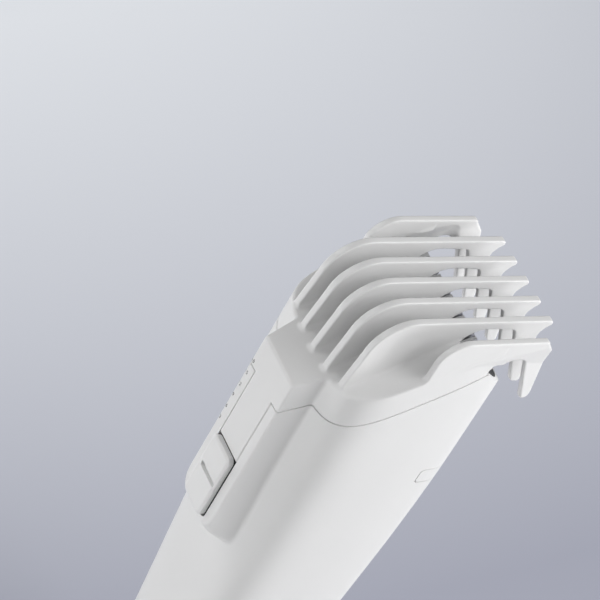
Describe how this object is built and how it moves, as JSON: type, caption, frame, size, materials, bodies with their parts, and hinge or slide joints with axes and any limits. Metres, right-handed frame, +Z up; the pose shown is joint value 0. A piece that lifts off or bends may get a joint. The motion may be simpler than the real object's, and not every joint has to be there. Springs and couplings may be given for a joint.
{
  "type": "hair clipper",
  "caption": "Cordless hair clipper with a white tapered body, a thumb slider on a raised front panel, and a toothed length comb over a steel blade.",
  "frame": {"origin": "centre of the flat base under the bottom cap", "axes": "+Z up along the body to the comb, -Y the front with the slider and the power button, +X the right-hand side"},
  "size_m": [0.04, 0.0562, 0.174],
  "materials": {
    "shell_white": "satin moulded plastic with a fine texture",
    "comb_white": "satin moulded plastic",
    "graphite_plastic": "matt moulded plastic",
    "frame_plastic": "matt glass-filled plastic",
    "blade_steel": "ground steel",
    "screw_steel": "zinc-plated steel",
    "copper": "enamelled winding and laminations",
    "cell_wrap": "shrink wrap",
    "board_green": "solder mask",
    "seal_rubber": "soft rubber",
    "lens_clear": "clear acrylic"
  },
  "bodies": {
    "body": {"main_housing": "shell_white", "bottom_cap": "shell_white", "cap_seal": "seal_rubber", "cap_screws": "screw_steel", "rear_plugs": "shell_white", "head_screws": "screw_steel", "detent_rack": "graphite_plastic", "head_frame": "graphite_plastic", "blade_holder": "graphite_plastic", "fixed_blade": "blade_steel", "blade_screws": "screw_steel", "cutter_spring": "screw_steel", "motor_can": "screw_steel", "motor_end_bell": "graphite_plastic", "motor_bracket": "screw_steel", "motor_screws": "screw_steel", "chassis": "frame_plastic", "battery_cell": "cell_wrap", "battery_tabs": "screw_steel", "circuit_board": "board_green", "board_screws": "screw_steel", "tact_switch": "graphite_plastic", "indicator_led": "lens_clear", "light_pipe": "lens_clear", "charge_socket": "screw_steel", "socket_seal": "seal_rubber"},
    "slider": {"slider_knob": "shell_white", "slider_carriage": "graphite_plastic", "detent_spring": "screw_steel"},
    "comb": {"limit_comb": "comb_white"},
    "cutter": {"moving_blade": "blade_steel", "cutter_yoke": "graphite_plastic"},
    "rotor": {"motor_shaft": "screw_steel", "rotor_core": "copper", "drive_cam": "graphite_plastic"},
    "button": {"power_button": "shell_white"}
  },
  "joints": [
    {"name": "slider_slide", "type": "slide", "parent": "body", "child": "slider", "axis": [0, 0, 1], "range_m": [0, 0.018]},
    {"name": "comb_lift_off", "type": "slide", "parent": "slider", "child": "comb", "axis": [0, 0, 1], "range_m": [0, 0.06]},
    {"name": "blade_reciprocate", "type": "slide", "parent": "body", "child": "cutter", "axis": [1, 0, 0], "range_m": [-0.001, 0.001]},
    {"name": "motor_spin", "type": "hinge", "parent": "body", "child": "rotor", "pos_m": [0, 0.005, 0.14], "axis": [0, 0, 1], "continuous": true},
    {"name": "power_button_press", "type": "slide", "parent": "body", "child": "button", "axis": [0, 0.9984, 0.0563], "range_m": [0, 0.0006], "stiffness_N_per_m": 1500, "springref_m": -0.0005}
  ]
}
